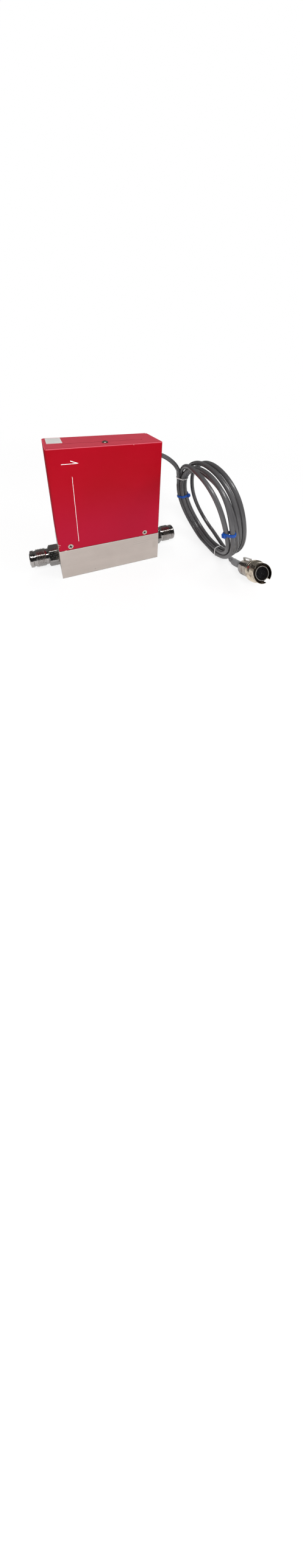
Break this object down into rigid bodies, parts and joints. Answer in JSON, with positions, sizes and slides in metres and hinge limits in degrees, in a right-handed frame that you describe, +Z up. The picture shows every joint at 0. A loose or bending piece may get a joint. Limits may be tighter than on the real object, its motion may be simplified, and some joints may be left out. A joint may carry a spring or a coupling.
{
  "type": "mass flow controller",
  "caption": "Gas flow controller: steel block with face-seal ports, red sheet-metal cover and a coiled captive cable with bayonet plug.",
  "frame": {"origin": "middle of the block's underside", "axes": "+X along the flow, -Y the front, +Z up"},
  "size_m": [0.2588, 0.1761, 0.1583],
  "materials": {
    "block_steel": "brushed",
    "polished_steel": "polished",
    "stainless": "satin",
    "seal_dark": "matte",
    "winding": "enamelled",
    "can": "satin",
    "dark_steel": "blackened",
    "ceramic": "coated",
    "brass": "plated",
    "board": "lacquered",
    "chips": "matte",
    "header": "moulded",
    "jacket": "satin",
    "red_paint": "satin",
    "screw_steel": "plated",
    "label": "matte",
    "sleeve": "satin",
    "white_tie": "satin",
    "blue_tie": "satin",
    "plug_nickel": "plated"
  },
  "bodies": {
    "controller": {"base_block": "block_steel", "inlet_fitting": "polished_steel", "outlet_fitting": "polished_steel", "port_gaskets": "stainless", "bypass_element": "stainless", "sensor_base": "stainless", "sensor_gaskets": "seal_dark", "sensor_tube": "stainless", "sensor_windings": "winding", "sensor_can": "can", "sensor_screws": "dark_steel", "valve_seat": "stainless", "diaphragm": "stainless", "valve_gasket": "stainless", "valve_body": "stainless", "valve_screws": "dark_steel", "push_button": "stainless", "piezo_stack": "ceramic", "actuator_tube": "stainless", "actuator_cap": "dark_steel", "bracket": "stainless", "bracket_screws": "dark_steel", "board_standoffs": "brass", "board_screws": "dark_steel", "control_board": "board", "board_chips": "chips", "board_header": "header", "inner_cable": "jacket", "front_cover": "red_paint", "rear_cover": "red_paint", "front_cover_screws": "screw_steel", "rear_cover_screws": "screw_steel", "top_screw": "dark_steel", "rating_label": "label", "top_label": "label", "cable_grommet": "seal_dark", "cable_lead": "jacket", "cable_coil": "jacket", "cable_tail": "jacket", "cable_sleeve": "sleeve", "white_tie_top": "white_tie", "white_tie_bottom": "white_tie", "blue_tie_left": "blue_tie", "blue_tie_right": "blue_tie", "plug_shell": "plug_nickel", "plug_insert": "chips", "plug_contacts": "brass", "spring_washer": "stainless", "plug_backshell": "plug_nickel", "strain_clamp": "plug_nickel", "clamp_screws": "screw_steel", "plug_label": "label"},
    "plug_ring": {"coupling_ring": "plug_nickel"}
  },
  "joints": [
    {"name": "bayonet_turn", "type": "hinge", "parent": "controller", "child": "plug_ring", "pos_m": [0.141, -0.133, 0.032], "axis": [-0.1501, -0.8783, 0.454], "range_deg": [0, 120]}
  ]
}
